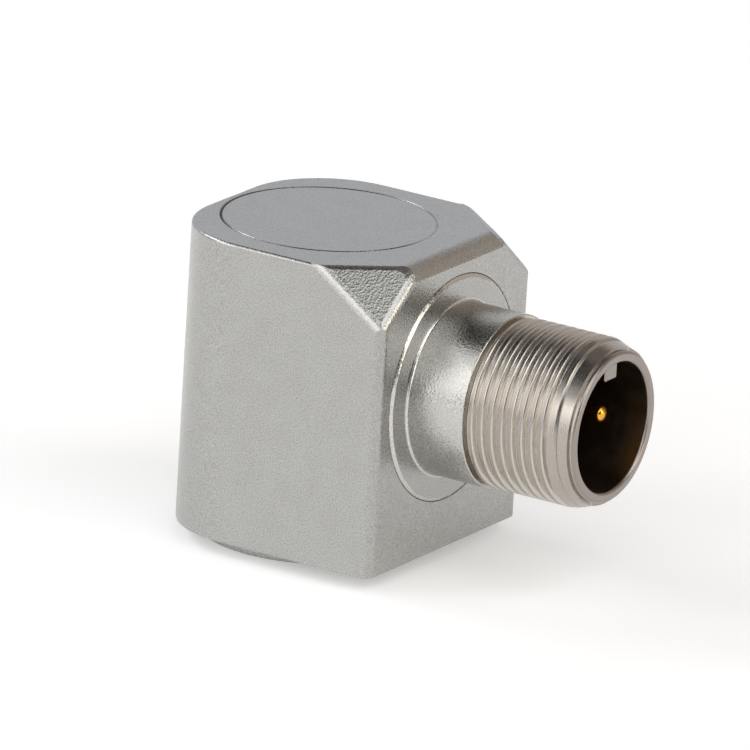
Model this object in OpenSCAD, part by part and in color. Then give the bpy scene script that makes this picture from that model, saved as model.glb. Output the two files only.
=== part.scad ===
// Side-exit vibration sensor: a machined housing with a welded lid and a welded two-pin connector.
// Origin on the mounting axis at the mounting face, +Z up, +X out through the connector. Millimetres.

/* [Housing] */
// Width of the block, side to side
housing_w = 25.2; // [23.6:0.1:30]
// Mounting axis to the front face, which carries the connector
housing_front = 14.2; // [13.6:0.1:18]
// Mounting axis to the flat back face
housing_back = 10.7; // [10.7:0.1:14]
// Height of the block above the boss
block_h = 28.35; // [28:0.05:36]
// Radius of the two large back corners
back_corner_r = 8.7; // [5:0.1:10]
// Radius of the upright front edges
front_edge_r = 0.75; // [0.4:0.05:2]
// Radius of the rounded top front edge
top_edge_r = 1.9; // [1.4:0.1:3]
// Depth of that rounding down the front face, which it meets at an angle
top_edge_drop = 1.3; // [0.4:0.05:1.5]
// Top corner cut, back from the front face
corner_cut_x = 6.9; // [3:0.1:8]
// Top corner cut, in along the top front edge
corner_cut_y = 6.1; // [3:0.1:8]
// Top corner cut, down the upright front edge
corner_cut_z = 5.1; // [3:0.1:6]

/* [Mounting] */
// Diameter of the round boss below the block
boss_d = 21.2; // [16:0.1:21.2]
// Height of the boss
boss_h = 1.3; // [0.8:0.1:3]
// Wall diameter of the tapped hole, 1/4-28 before the thread is cut
stud_hole_d = 5.5; // [4:0.1:7]
// Depth of the tapped wall
stud_hole_depth = 6.4; // [4:0.1:7]
// Point angle of the drill that made the hole
drill_point = 118; // [90:1:140]

/* [Cavity and lid] */
// Height of the cavity floor above the mounting face
floor_z = 10.4; // [10:0.1:12]
// Diameter of the cavity
cavity_d = 17; // [16.6:0.1:18]
// Diameter of the lid
lid_d = 19.7; // [19:0.1:20.4]
// Thickness of the lid at its edge
lid_t = 1.8; // [1:0.1:2.5]
// Depth of the locating step below the lid
lid_step = 0.8; // [0.4:0.1:1.5]
// Bevel on both sides of a weld seam
seam_bevel = 0.1; // [0.05:0.01:0.2]

/* [Connector] */
// Height of the connector axis above the mounting face
connector_z = 16.7; // [16:0.1:17.5]
// Diameter of the welded flange
flange_d = 21.2; // [19:0.1:21.4]
// Thickness of the flange set into the front face
flange_t = 2.2; // [1.5:0.1:2.5]
// Height of the flange's crown in front of the front face
crown_h = 0.2; // [0.1:0.05:0.4]
// Width of the slope round the crown
crown_w = 0.5; // [0.2:0.05:0.8]
// Diameter of the locating spigot behind the flange
spigot_d = 13.8; // [13:0.1:14.2]
// Length of the spigot
spigot_len = 2.4; // [1.5:0.1:2.8]
// Diameter of the plain neck
neck_d = 16.2; // [16:0.1:17]
// Length of the neck in front of the front face
neck_len = 6.2; // [3:0.1:8]
// Fillet at the foot of the neck
neck_fillet = 0.3; // [0.2:0.1:1]
// Width of the thread run-out groove
relief_w = 0.6; // [0.3:0.1:1.5]
// Depth of the run-out groove below the thread crests
relief_depth = 0.62; // [0.3:0.01:0.9]
// Major diameter of the coupling thread, 5/8-24
thread_d = 15.875; // [15:0.005:16]
// Pitch of the coupling thread, 24 turns to the inch
thread_pitch = 1.058; // [0.9:0.001:1.2]
// Reach of the shell in front of the front face
shell_reach = 17.3; // [15.5:0.1:20]
// Length of the tapered lead at the end of the thread
lead_taper = 1.9; // [1:0.1:2.5]
// Diameter at the small end of the taper
taper_d = 14.6; // [14.3:0.1:15]
// Diameter of the rim lip
lip_d = 14.1; // [13.4:0.1:14.3]
// Length of the rim lip
lip_len = 0.5; // [0.35:0.05:1]
// Edge radius of the rim lip
lip_r = 0.3; // [0.1:0.05:0.34]
// Diameter of the socket
socket_d = 12.1; // [11.6:0.1:12.4]
// Depth of the socket from the rim to the glass
socket_depth = 12; // [10:0.1:13]
// Thickness of the glass seal
glass_t = 3; // [2:0.1:3.5]
// Diameter of the passage behind the glass
rear_bore_d = 10; // [9:0.1:10.8]
// Width of the polarising key
key_w = 1.9; // [1:0.1:2.5]
// Height of the key above the socket wall
key_h = 1.75; // [1:0.05:2]
// Length of the key
key_len = 8; // [4:0.1:9.5]
// Distance of the key's front end behind the rim
key_setback = 0.6; // [0.35:0.05:1.5]

/* [Contacts] */
// Diameter of the contact pins
pin_d = 1.57; // [1.4:0.01:1.8]
// Distance between the two pins
pin_pitch = 5.3; // [4.8:0.1:5.6]
// Distance of the pin tips behind the rim
pin_setback = 2.6; // [1:0.1:5]
// Length of the pins behind the glass
pin_tail = 4.4; // [3.4:0.1:5]
// Diameter of the solder cup in each pin's rear end
cup_d = 1; // [0.98:0.01:1.1]
// Depth of the solder cup
cup_depth = 1.8; // [1.2:0.1:2.5]
// Wall of the shrink sleeves
sleeve_t = 0.28; // [0.2:0.01:0.4]
// Length of the shrink sleeves
sleeve_len = 4; // [3:0.1:4.4]

/* [Sensing element] */
// Thickness of the isolation disc
isolation_t = 0.8; // [0.5:0.1:1.2]
// Diameter of the isolation disc
isolation_d = 15.2; // [14.4:0.1:16]
// Thickness of the base flange
base_t = 1.4; // [1:0.1:2]
// Diameter of the base flange
base_d = 14; // [13.8:0.1:14.4]
// Diameter of the post
post_d = 5; // [4:0.1:5.2]
// Radial thickness of the piezo ring
piezo_t = 1.5; // [1:0.1:1.6]
// Height of the piezo ring
piezo_h = 4.4; // [3:0.1:4.8]
// Radial thickness of the seismic mass
mass_t = 1.9; // [1.5:0.1:2]
// Height of the seismic mass
mass_h = 4.8; // [4.8:0.1:5.2]
// Gap between the base flange and the mass
mass_lift = 0.8; // [0.7:0.1:1]
// Outer diameter of the shield can
can_d = 13.6; // [13.4:0.1:13.7]
// Wall of the shield can
can_t = 0.4; // [0.3:0.05:0.5]
// Height of the step that locates the can
can_step = 0.5; // [0.3:0.1:0.6]

/* [Amplifier] */
// Height of the standoff ring
standoff_h = 1.4; // [1:0.1:1.8]
// Radial thickness of the standoff ring
standoff_t = 0.9; // [0.6:0.1:1]
// Thickness of the board
board_t = 1; // [0.8:0.1:1.6]
// Gap between the board's edge and the cavity wall
board_gap = 0.4; // [0.3:0.05:0.8]
// Mounting axis to the flat front edge of the board
board_flat = 5.6; // [5.2:0.1:5.8]
// Diameter of the insulated leads
lead_d = 0.9; // [0.7:0.05:0.9]
// Diameter of the bare element lead
element_lead_d = 0.5; // [0.3:0.05:0.7]

/* [Board parts] */
// Length of the amplifier chip across the board
chip_l = 4.9; // [4:0.1:5.2]
// Width of the amplifier chip's body
chip_w = 3.9; // [3:0.1:4]
// Height of the amplifier chip's body
chip_h = 1.5; // [1:0.1:2]
// Gap between the chip's body and the board
chip_lift = 0.12; // [0.05:0.01:0.2]
// Distance between the chip's terminals
terminal_pitch = 1.27; // [1:0.01:1.27]
// Width of a terminal
terminal_w = 0.4; // [0.3:0.05:0.6]
// Thickness of a terminal
terminal_t = 0.2; // [0.15:0.01:0.25]
// Reach of a terminal beside the body
terminal_reach = 1.05; // [0.9:0.05:1.2]
// Length of a terminal's foot
terminal_foot = 0.6; // [0.4:0.05:0.65]
// Length of a capacitor
cap_l = 3.5; // [2.5:0.1:4]
// Width of a capacitor
cap_w = 2.4; // [1.6:0.1:2.6]
// Height of a capacitor
cap_h = 1.9; // [1:0.1:2.2]
// Length of a resistor
res_l = 2; // [1.6:0.1:2.4]
// Width of a resistor
res_w = 1.25; // [0.8:0.05:1.4]
// Height of a resistor
res_h = 0.5; // [0.3:0.05:0.7]
// Gap between the board parts and its edge
part_margin = 0.9; // [0.6:0.1:1.2]

/* [Clearances] */
// Welded and located fits, each side
fit_gap = 0.02; // [0.01:0.01:0.05]
// Bonded joints, each side
bond_gap = 0.02; // [0.01:0.01:0.05]
// Leads in their holes, each side
lead_gap = 0.05; // [0.03:0.01:0.1]

/* [Hidden] */
$fn = 96;
// Reach of a cut past the face that it opens, and of a shape into the one that it joins
over = 1;
lap = 0.5;

half_w = housing_w/2;
top_z = boss_h + block_h;
top_edge_run = sqrt(pow(top_edge_r, 2) - pow(top_edge_r - top_edge_drop, 2));
lid_z = top_z - lid_t;
cavity_r = cavity_d/2;

// Lengths along the connector axis, measured from the front face
flange_r = flange_d/2;
spigot_z = -flange_t - spigot_len;
thread_z = neck_len + relief_w;
taper_z = shell_reach - lip_len - lead_taper;
lip_z = shell_reach - lip_len;
glass_z = shell_reach - socket_depth - glass_t;
socket_r = socket_d/2;
pin_rear = glass_z - pin_tail;
pin_front = shell_reach - pin_setback;

// Grooves of the coupling thread: 60 degree flanks, flat crests and roots, drawn as rings
groove_mouth = thread_pitch*7/8;
groove_root = thread_pitch/4;
groove_depth = (groove_mouth - groove_root)/2/tan(30);
groove_z = thread_z + thread_pitch - groove_mouth/2;
groove_count = floor((lip_z - thread_z)/thread_pitch);

// Heights of the sensing element and the amplifier
base_z = floor_z + isolation_t;
seat_z = base_z + base_t;
mass_z = seat_z + mass_lift;
mass_top = mass_z + mass_h;
post_stand = 0.3;
can_room = 0.7;
post_top = mass_top + post_stand;
can_top = post_top + can_room + can_t;
board_z = can_top + standoff_h;
board_top = board_z + board_t;
board_r = cavity_r - board_gap;
post_r = post_d/2;
piezo_in = post_r + bond_gap;
piezo_out = piezo_in + piezo_t;
mass_in = piezo_out + bond_gap;
mass_out = mass_in + mass_t;
can_in = can_d/2 - can_t;
standoff_r = can_d/2 - can_t/2;

// Route of the insulated leads: up from the board, over its flat edge and down to the pins
lead_y = pin_pitch/2;
pad_inset = 1.3;
loop_rise = 0.7;
pad_x = board_flat - pad_inset;
drop_x = (sqrt(pow(can_d/2, 2) - pow(lead_y, 2)) + sqrt(pow(cavity_r, 2) - pow(lead_y + lead_d/2, 2)))/2;
loop_r = (drop_x - pad_x)/2;
pad_z = board_top - 0.6*board_t;
loop_z = board_top + loop_rise;
elbow_r = 1.2;
cup_room = 0.2;
lead_end = housing_front + pin_rear + cup_depth - cup_room;

// Place of the element lead, over the middle of the mass
tap_x = -(mass_in + mass_out)/2;

// Places of the board parts
chip_x = -board_r/13;
cap_y = sqrt(pow(board_r - part_margin, 2) - pow(cap_l/2 - chip_x, 2)) - cap_w/2;
res_y = res_l*1.3;
res_x = sqrt(pow(board_r - part_margin, 2) - pow(res_y + res_l/2, 2));

steel = [0.72, 0.72, 0.71];
turned_steel = [0.78, 0.78, 0.77];
gold = [0.83, 0.66, 0.3];
black_glass = [0.06, 0.05, 0.05];
ceramic_white = [0.9, 0.89, 0.85];
piezo_grey = [0.55, 0.52, 0.44];
tungsten_grey = [0.42, 0.42, 0.44];
nickel = [0.75, 0.73, 0.68];
peek_tan = [0.68, 0.58, 0.42];
board_green = [0.1, 0.32, 0.18];
chip_black = [0.09, 0.09, 0.1];
tantalum_yellow = [0.78, 0.6, 0.2];
lead_red = [0.6, 0.12, 0.1];
lead_white = [0.88, 0.88, 0.86];
tinned = [0.76, 0.76, 0.74];

// Outline of the block seen from above: square front, round back corners
module block_plan() {
    back_x = back_corner_r - housing_back;
    back_y = half_w - back_corner_r;
    front_x = housing_front - front_edge_r;
    front_y = half_w - front_edge_r;
    translate([back_x, -half_w]) square([front_x - back_x, housing_w]);
    translate([-housing_back, -back_y]) square([housing_back + front_x, 2*back_y]);
    translate([back_x, -front_y]) square([housing_front - back_x, 2*front_y]);
    for (side = [-1, 1]) {
        translate([back_x, side*back_y]) circle(back_corner_r);
        translate([front_x, side*front_y]) circle(front_edge_r);
    }
}

// Takes the sharp top front edge down to a radius
module top_edge_cutter() {
    translate([housing_front - top_edge_run, 0, top_z])
        rotate([90, 0, 0])
            linear_extrude(housing_w + 2*over, center = true)
                difference() {
                    translate([0, -top_edge_drop]) square([top_edge_run + over, top_edge_drop + over]);
                    translate([0, -top_edge_r]) circle(top_edge_r);
                }
}

// Slanted cut over one top front corner, through three points on its edges
module corner_cutter(side) {
    lean = [1/corner_cut_x, side/corner_cut_y, 1/corner_cut_z];
    translate([housing_front - corner_cut_x, side*half_w, top_z])
        rotate([0, acos(lean.z/norm(lean)), atan2(lean.y, lean.x)])
            translate([-housing_w, -housing_w, 0])
                cube([2*housing_w, 2*housing_w, housing_w]);
}

// Moves and turns its children onto the connector axis, front face at height 0
module on_connector_axis() {
    translate([housing_front, 0, connector_z])
        rotate([0, 90, 0])
            children();
}

// Round seat with a bevelled mouth, opening upwards at height 0
module weld_seat(d, depth) {
    translate([0, 0, -depth]) cylinder(d = d + 2*fit_gap, h = depth + over);
    translate([0, 0, -seam_bevel])
        cylinder(d1 = d + 2*fit_gap, d2 = d + 4*fit_gap + 2*seam_bevel, h = seam_bevel + fit_gap);
}

module housing() {
    color(steel)
    difference() {
        union() {
            translate([0, 0, boss_h]) linear_extrude(block_h) block_plan();
            cylinder(d = boss_d, h = boss_h + over);
        }
        top_edge_cutter();
        corner_cutter(-1);
        corner_cutter(1);
        translate([0, 0, top_z]) weld_seat(lid_d, lid_t);
        translate([0, 0, floor_z]) cylinder(d = cavity_d, h = block_h);
        on_connector_axis() {
            weld_seat(flange_d, flange_t);
            translate([0, 0, -housing_front]) cylinder(d = spigot_d + 2*fit_gap, h = housing_front);
        }
        translate([0, 0, -over]) cylinder(d = stud_hole_d, h = stud_hole_depth + over);
        translate([0, 0, stud_hole_depth])
            cylinder(d1 = stud_hole_d, d2 = 0, h = stud_hole_d/2/tan(drill_point/2));
    }
}

module top_lid() {
    color(steel)
    translate([0, 0, lid_z]) {
        cylinder(d = lid_d, h = lid_t - seam_bevel);
        translate([0, 0, lid_t - seam_bevel])
            cylinder(d1 = lid_d, d2 = lid_d - 2*seam_bevel, h = seam_bevel);
        translate([0, 0, -lid_step]) cylinder(d = cavity_d - 2*fit_gap, h = lid_step + lap);
    }
}

// Section of one thread groove, with its mouth on the crest line at x 0
module groove_section() {
    rise = groove_depth + lap;
    wide = groove_root/2 + rise*tan(30);
    polygon([[-groove_depth, -groove_root/2], [lap, -wide], [lap, wide], [-groove_depth, groove_root/2]]);
}

// Half section of the shell: spigot, flange, neck, run-out groove, thread, taper and rim
module shell_section() {
    difference() {
        union() {
            translate([0, spigot_z]) square([spigot_d/2, spigot_len + over]);
            polygon([[0, -flange_t], [flange_r, -flange_t], [flange_r, 0],
                [flange_r - crown_w, crown_h], [0, crown_h]]);
            translate([0, -lap]) square([neck_d/2, neck_len + lap]);
            translate([neck_d/2, crown_h])
                difference() {
                    translate([-lap, -lap]) square(neck_fillet + lap);
                    translate([neck_fillet, neck_fillet]) circle(neck_fillet);
                }
            square([thread_d/2 - relief_depth, thread_z + lap]);
            polygon([[0, thread_z], [thread_d/2, thread_z], [thread_d/2, taper_z],
                [taper_d/2, lip_z], [0, lip_z]]);
            translate([0, lip_z - lap]) square([lip_d/2, lip_len + lap - lip_r]);
            translate([0, lip_z]) square([lip_d/2 - lip_r, lip_len]);
            translate([lip_d/2 - lip_r, shell_reach - lip_r]) circle(lip_r);
        }
        translate([-over, spigot_z - over]) square([rear_bore_d/2 + over, shell_reach - spigot_z + 2*over]);
        translate([-over, glass_z]) square([socket_r + over, shell_reach]);
        for (k = [0 : groove_count - 1])
            translate([thread_d/2, groove_z + k*thread_pitch]) groove_section();
        translate([socket_r + lip_r, shell_reach - lip_r])
            difference() {
                translate([-lip_r - over, 0]) square([lip_r + over, lip_r + over]);
                circle(lip_r);
            }
    }
}

module connector_shell() {
    color(turned_steel)
    on_connector_axis() {
        rotate_extrude() shell_section();
        translate([-socket_r - lap, -key_w/2, shell_reach - key_setback - key_len])
            cube([key_h + lap, key_w, key_len]);
    }
}

module glass_seal() {
    color(black_glass)
    on_connector_axis()
        translate([0, 0, glass_z])
            difference() {
                cylinder(d = socket_d - 2*fit_gap, h = glass_t);
                for (side = [-1, 1])
                    translate([0, side*pin_pitch/2, -over])
                        cylinder(d = pin_d + 2*fit_gap, h = glass_t + 2*over);
            }
}

// Round-nosed contact with a solder cup behind
module contact_pin(side) {
    on_connector_axis()
        translate([0, side*pin_pitch/2, 0])
            difference() {
                union() {
                    translate([0, 0, pin_rear])
                        cylinder(d = pin_d, h = pin_front - pin_d/2 - pin_rear);
                    translate([0, 0, pin_front - pin_d/2]) sphere(d = pin_d);
                }
                translate([0, 0, pin_rear - over]) cylinder(d = cup_d, h = cup_depth + over);
            }
}

module signal_pin() {
    color(gold) contact_pin(1);
}

module common_pin() {
    color(gold) contact_pin(-1);
}

module isolation_disc() {
    color(ceramic_white)
    translate([0, 0, floor_z]) cylinder(d = isolation_d, h = isolation_t);
}

module element_base() {
    color(nickel)
    translate([0, 0, base_z]) {
        cylinder(d = base_d, h = base_t);
        cylinder(r = can_in - fit_gap, h = base_t + can_step);
        cylinder(r = post_r, h = post_top - base_z);
    }
}

// Ring between two radii, standing on height 0
module ring(r_in, r_out, h) {
    difference() {
        cylinder(r = r_out, h = h);
        translate([0, 0, -over]) cylinder(r = r_in, h = h + 2*over);
    }
}

module piezo_ring() {
    color(piezo_grey)
    translate([0, 0, mass_z + (mass_h - piezo_h)/2]) ring(piezo_in, piezo_out, piezo_h);
}

module seismic_mass() {
    color(tungsten_grey)
    translate([0, 0, mass_z]) ring(mass_in, mass_out, mass_h);
}

module shield_can() {
    color(nickel)
    difference() {
        translate([0, 0, seat_z]) cylinder(d = can_d, h = can_top - seat_z);
        translate([0, 0, seat_z - over]) cylinder(r = can_in, h = can_top - can_t - seat_z + over);
        translate([tap_x, 0, can_top - over]) cylinder(d = element_lead_d + 2*lap, h = 2*over);
    }
}

module board_standoff() {
    color(peek_tan)
    translate([0, 0, can_top]) ring(standoff_r - standoff_t, standoff_r, standoff_h);
}

module circuit_board() {
    color(board_green)
    translate([0, 0, board_z])
        difference() {
            cylinder(r = board_r, h = board_t);
            translate([board_flat, -board_r, -over]) cube([board_r, 2*board_r, board_t + 2*over]);
            translate([tap_x, 0, -over]) cylinder(d = element_lead_d + 2*lead_gap, h = board_t + 2*over);
            for (side = [-1, 1])
                translate([pad_x, side*lead_y, -over])
                    cylinder(d = lead_d + 2*lead_gap, h = board_t + 2*over);
        }
}

// One bent terminal of the chip: foot on the board, riser, arm into the body
module gull_wing() {
    foot_x = chip_w/2 + terminal_reach - terminal_foot;
    arm_z = chip_lift + chip_h/2 - terminal_t/2;
    translate([foot_x, -terminal_w/2, 0]) cube([terminal_foot, terminal_w, terminal_t]);
    translate([foot_x - terminal_t, -terminal_w/2, 0]) cube([terminal_t*1.1, terminal_w, arm_z + terminal_t]);
    translate([chip_w/4, -terminal_w/2, arm_z]) cube([foot_x - chip_w/4, terminal_w, terminal_t]);
}

module amplifier_chip() {
    color(chip_black)
    translate([chip_x, 0, board_top]) {
        translate([-chip_w/2, -chip_l/2, chip_lift]) cube([chip_w, chip_l, chip_h]);
        for (side = [0, 180])
            for (step = [-1.5 : 1 : 1.5])
                rotate([0, 0, side]) translate([0, step*terminal_pitch, 0]) gull_wing();
    }
}

module chip_capacitors() {
    color(tantalum_yellow)
    for (side = [-1, 1])
        translate([chip_x - cap_l/2, side*cap_y - cap_w/2, board_top]) cube([cap_l, cap_w, cap_h]);
}

module chip_resistors() {
    color(chip_black)
    for (side = [-1, 1])
        translate([-res_x, side*res_y - res_l/2, board_top]) cube([res_w, res_l, res_h]);
}

module element_lead() {
    color(tinned)
    translate([tap_x, 0, mass_top]) cylinder(d = element_lead_d, h = board_top - mass_top);
}

// Part of a turn in the plane of the leads, about a centre at height 0
module lead_bend(r, from, sweep) {
    rotate([90, 0, 0])
        rotate([0, 0, from])
            rotate_extrude(angle = sweep)
                translate([r, 0]) circle(d = lead_d);
}

module lead(side) {
    translate([0, side*lead_y, 0]) {
        translate([pad_x, 0, pad_z]) cylinder(d = lead_d, h = loop_z - pad_z);
        translate([pad_x + loop_r, 0, loop_z]) lead_bend(loop_r, 0, 180);
        translate([drop_x, 0, connector_z + elbow_r])
            cylinder(d = lead_d, h = loop_z - connector_z - elbow_r);
        translate([drop_x + elbow_r, 0, connector_z + elbow_r]) lead_bend(elbow_r, 180, 90);
        translate([drop_x + elbow_r, 0, connector_z])
            rotate([0, 90, 0]) cylinder(d = lead_d, h = lead_end - drop_x - elbow_r);
    }
}

module signal_lead() {
    color(lead_red) lead(1);
}

module common_lead() {
    color(lead_white) lead(-1);
}

module lead_sleeves() {
    color(chip_black)
    on_connector_axis()
        for (side = [-1, 1])
            translate([0, side*pin_pitch/2, pin_rear - sleeve_len/2])
                ring(pin_d/2 + fit_gap, pin_d/2 + fit_gap + sleeve_t, sleeve_len);
}

housing();
top_lid();
connector_shell();
glass_seal();
signal_pin();
common_pin();
isolation_disc();
element_base();
piezo_ring();
seismic_mass();
shield_can();
board_standoff();
circuit_board();
amplifier_chip();
chip_capacitors();
chip_resistors();
element_lead();
signal_lead();
common_lead();
lead_sleeves();
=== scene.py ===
import math
import random

import bmesh
import bpy
from mathutils import Matrix, Vector
from mathutils.geometry import intersect_plane_plane


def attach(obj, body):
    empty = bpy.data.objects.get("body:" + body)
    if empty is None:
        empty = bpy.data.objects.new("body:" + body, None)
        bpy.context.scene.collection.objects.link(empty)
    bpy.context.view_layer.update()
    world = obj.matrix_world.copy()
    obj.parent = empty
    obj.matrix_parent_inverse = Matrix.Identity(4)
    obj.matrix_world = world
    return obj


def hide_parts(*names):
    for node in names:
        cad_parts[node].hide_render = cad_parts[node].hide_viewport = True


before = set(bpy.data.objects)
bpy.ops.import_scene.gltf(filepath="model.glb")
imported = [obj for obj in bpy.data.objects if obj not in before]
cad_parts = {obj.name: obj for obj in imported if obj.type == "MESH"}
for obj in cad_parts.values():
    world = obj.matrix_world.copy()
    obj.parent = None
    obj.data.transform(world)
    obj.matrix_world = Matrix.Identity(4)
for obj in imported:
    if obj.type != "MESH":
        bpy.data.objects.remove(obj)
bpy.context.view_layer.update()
mm = 0.001
print("frame loaded:", len(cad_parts), "nodes")


def hexToLinear(text):
    def channel(pair):
        v = int(pair, 16) / 255
        return v / 12.92 if v <= 0.04045 else ((v + 0.055) / 1.055) ** 2.4
    text = text.lstrip("#")
    return tuple(channel(text[i:i + 2]) for i in (0, 2, 4)) + (1.0,)


# adds one node, sets its properties and feeds its sockets: a socket is linked, anything else is a value
# a key names a socket with _ for a space, or gives its index as i0, i1 and so on
def addNode(tree, kind, settings=None, **sockets):
    node = tree.nodes.new(kind)
    for key, value in (settings or {}).items():
        setattr(node, key, value)
    for key, value in sockets.items():
        byIndex = key[0] == "i" and key[1:].isdigit()
        socket = node.inputs[int(key[1:])] if byIndex else node.inputs[key.replace("_", " ")]
        if isinstance(value, bpy.types.NodeSocket):
            tree.links.new(value, socket)
        else:
            socket.default_value = value
    return node


def startMaterial(name):
    material = bpy.data.materials.new(name)
    material.use_nodes = True
    material.node_tree.nodes.clear()
    return material, material.node_tree


def closeMaterial(tree, shader):
    addNode(tree, "ShaderNodeOutputMaterial", None, Surface=shader.outputs[0])


# profile of (along, radius, corner radius) points; a corner with a radius becomes a short arc
def roundProfile(points, steps=5):
    result = []
    for i, (along, radius, corner) in enumerate(points):
        if corner <= 0:
            result.append((along, radius))
            continue
        here = Vector((along, radius))
        before = (Vector(points[i - 1][:2]) - here).normalized()
        after = (Vector(points[(i + 1) % len(points)][:2]) - here).normalized()
        half = before.angle(after) / 2
        centre = here + (before + after).normalized() * (corner / math.sin(half))
        start = here + before * (corner / math.tan(half)) - centre
        end = here + after * (corner / math.tan(half)) - centre
        for k in range(steps + 1):
            result.append(tuple(centre + start.lerp(end, k / steps).normalized() * corner))
    return result


# turns a profile about an axis through origin; the profile is a list, or a function of the angle
def turnedMesh(name, profile, segments, axis="x", origin=(0, 0, 0)):
    bm = bmesh.new()
    columns = []
    for k in range(segments):
        angle = 2 * math.pi * k / segments
        points = profile(angle) if callable(profile) else profile
        column = []
        for along, radius in points:
            c, s = radius * math.cos(angle), radius * math.sin(angle)
            local = (along, c, s) if axis == "x" else (c, s, along)
            column.append((Vector(local) + Vector(origin)) * mm)
        columns.append(column)
    flat = profile(0) if callable(profile) else profile
    rings = []
    for row, (along, radius) in enumerate(flat):
        spots = columns[:1] if radius < 1e-9 else columns  # a point on the axis is a pole
        rings.append([bm.verts.new(column[row]) for column in spots])
    for first, second in zip(rings, rings[1:]):
        for k in range(segments):
            n = (k + 1) % segments
            corners = [ring[i % len(ring)] for ring, i in ((first, k), (first, n), (second, n), (second, k))]
            corners = list(dict.fromkeys(corners))  # a pole counts once
            if len(corners) > 2:
                bm.faces.new(corners)
    bmesh.ops.recalc_face_normals(bm, faces=bm.faces)
    mesh = bpy.data.meshes.new(name)
    bm.to_mesh(mesh)
    bm.free()
    return mesh


def addObject(name, mesh, *materials):
    piece = bpy.data.objects.new(name, mesh)
    bpy.context.scene.collection.objects.link(piece)
    mesh.materials.clear()
    for material in materials:
        mesh.materials.append(material)
    return piece


# turns the modifiers' result into a plain mesh and drops them
def settle(piece):
    depsgraph = bpy.context.evaluated_depsgraph_get()
    result = piece.evaluated_get(depsgraph)
    mesh = bpy.data.meshes.new_from_object(result, preserve_all_data_layers=True, depsgraph=depsgraph)
    old = piece.data
    piece.modifiers.clear()
    piece.data = mesh
    mesh.name = piece.name
    bpy.data.meshes.remove(old)
    return piece


def cutWith(piece, mesh, operation):
    tool = addObject("tool", mesh)
    step = piece.modifiers.new("cut", "BOOLEAN")
    step.operation = operation
    step.solver = "EXACT"
    step.object = tool
    settle(piece)
    bpy.data.objects.remove(tool)
    bpy.data.meshes.remove(mesh)


# smooth faces, sharp edges above an angle, large flat faces kept flat
def shadeMachined(piece, degrees):
    mesh = piece.data
    bm = bmesh.new()
    bm.from_mesh(mesh)
    for face in bm.faces:
        face.smooth = True
    for edge in bm.edges:
        edge.smooth = edge.calc_face_angle(0) < math.radians(degrees)
    openEdges = sum(len(edge.link_faces) != 2 for edge in bm.edges)
    bm.to_mesh(mesh)
    bm.free()
    weighted = piece.modifiers.new("normals", "WEIGHTED_NORMAL")
    weighted.keep_sharp = True
    weighted.weight = 100
    settle(piece)
    print(piece.name + ":", len(piece.data.polygons), "faces,", openEdges, "open edges")


def placePiece(piece, slot, *nodes):
    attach(piece, "root")
    if nodes:
        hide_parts(*nodes)


# sizes shared by the pieces, in mm: the main ones are as the frame has them
# the cut, the edges, the seams, the slope round the flange and the depth of the thread follow the picture
housing = {
    "width": 25.2, "front": 14.2, "back": 10.7, "top": 29.65, "bottom": 1.3, "floor": 10.4,
    "cavityRadius": 8.5, "bossRadius": 10.6, "bossEdge": 0.15, "bossSunk": 1, "backRadius": 8.7,
    "backSteps": 40, "frontEdge": 0.75, "nearEdge": 1.05, "frontSteps": 12, "topFrontRadius": 1.9,
    "topFrontDrop": 1.3, "cut": (7.1, 6.0, 4.95), "cutSteps": 8,
    "cutEdges": (0.78, 0.72, 0.45),  # to the side, the front and the top
    "arcBreak": 0.5, "arcBreaks": (20, 40, 60), "topEdge": 0.3, "bottomEdge": 0.12, "edgeSteps": 10,
    "segments": 144}
lid = {
    "radius": 9.85, "thickness": 1.8, "step": 0.8, "lead": 0.1, "gap": 0.02, "seam": 0.13, "flushSeam": 0.012,
    "flushAngle": 22, "flushHalf": 14, "openHalf": 44, "fadeFrom": 0.72, "fadeTo": 0.97, "fadeLeft": 0.12}
connector = {
    "height": 16.7, "flange": 10.6, "flangeThickness": 2.2, "crown": 0.2, "crownSlope": 0.34,
    "crownRound": 0.25, "spigot": 6.9, "spigotLength": 2.4, "spigotRound": 0.2, "neck": 8.1, "neckEnd": 6.2,
    "neckFillet": 0.24, "neckRound": 0.12, "relief": 7.32, "edgeRound": 0.1, "threadStart": 6.8,
    "crest": 7.9375, "threadDepth": 0.44, "pitch": 25.4 / 24, "taperStart": 14.9, "taperEnd": 16.8,
    "taperRadius": 7.3, "lip": 7.05, "lipRound": 0.3, "reach": 17.3, "socket": 6.05, "glassFront": 5.3,
    "glassBack": 2.3, "rear": 5.0, "segments": 192, "seamGap": 0.02, "seam": 0.05, "seamRound": 0.05}
connectorOrigin = (housing["front"], 0, connector["height"])

# 316L stainless, bead blasted: dull pale grey with soft wide highlights
# its fine frosted grain sparkles where the light turns, and is drawn as coarse as it shows in the picture
# the welds keep a brown heat tint in their seams
blastedSteel = {
    "colour": "#b2b2af", "mottleColour": "#a8a7a4", "tint": "#2f2720", "roughLow": 0.22, "roughHigh": 0.34,
    "grainMm": 0.15, "pitMm": 0.21, "pitDepthMm": 0.013, "speck": 0.2, "mottleMm": 2.4,
    "lidSeamMm": 0.23, "flangeSeamMm": 0.09, "flangeTint": 0.6, "seamDepthMm": 0.3}


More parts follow.
